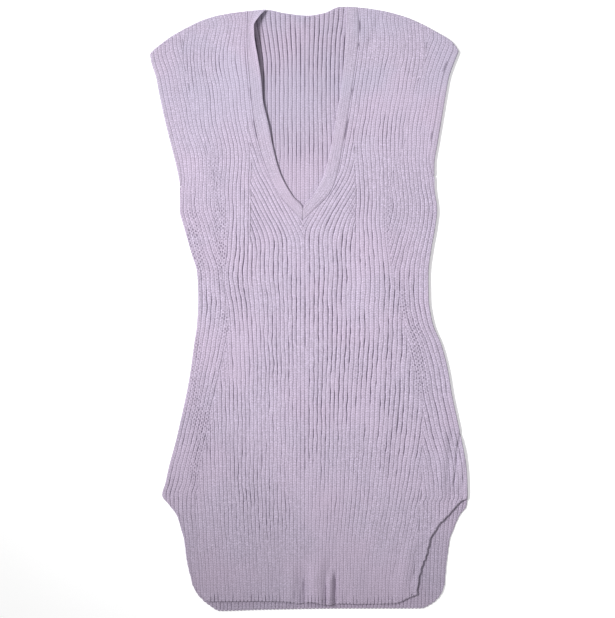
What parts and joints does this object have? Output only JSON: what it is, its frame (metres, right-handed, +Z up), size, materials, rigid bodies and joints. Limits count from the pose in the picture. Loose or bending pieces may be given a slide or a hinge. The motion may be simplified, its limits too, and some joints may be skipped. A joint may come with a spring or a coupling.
{
  "type": "knitted sweater vest",
  "caption": "Sleeveless V-neck longline knitted vest in lilac rib, laid flat, with a plain neckband, armhole bands, side slits and a longer back hem.",
  "frame": {"origin": "middle of the footprint of the laid garment, on the surface that it lies on", "axes": "+X across the garment towards the right of the picture, +Y along it from hem to neck, +Z up from the surface, out of the front"},
  "size_m": [0.4378, 0.8314, 0.015],
  "materials": {
    "rib_knit": "matt, softly fuzzy lilac rib knit",
    "rib_knit_back": "matt, softly fuzzy lilac rib knit, seen inside the neck and past the slit",
    "band_knit": "matt, fine plain lilac knit"
  },
  "bodies": {
    "root": {"front_panel": "rib_knit", "back_panel": "rib_knit_back", "neckband_left": "band_knit", "neckband_right": "band_knit", "armhole_band_left": "band_knit", "armhole_band_right": "band_knit"}
  },
  "joints": []
}
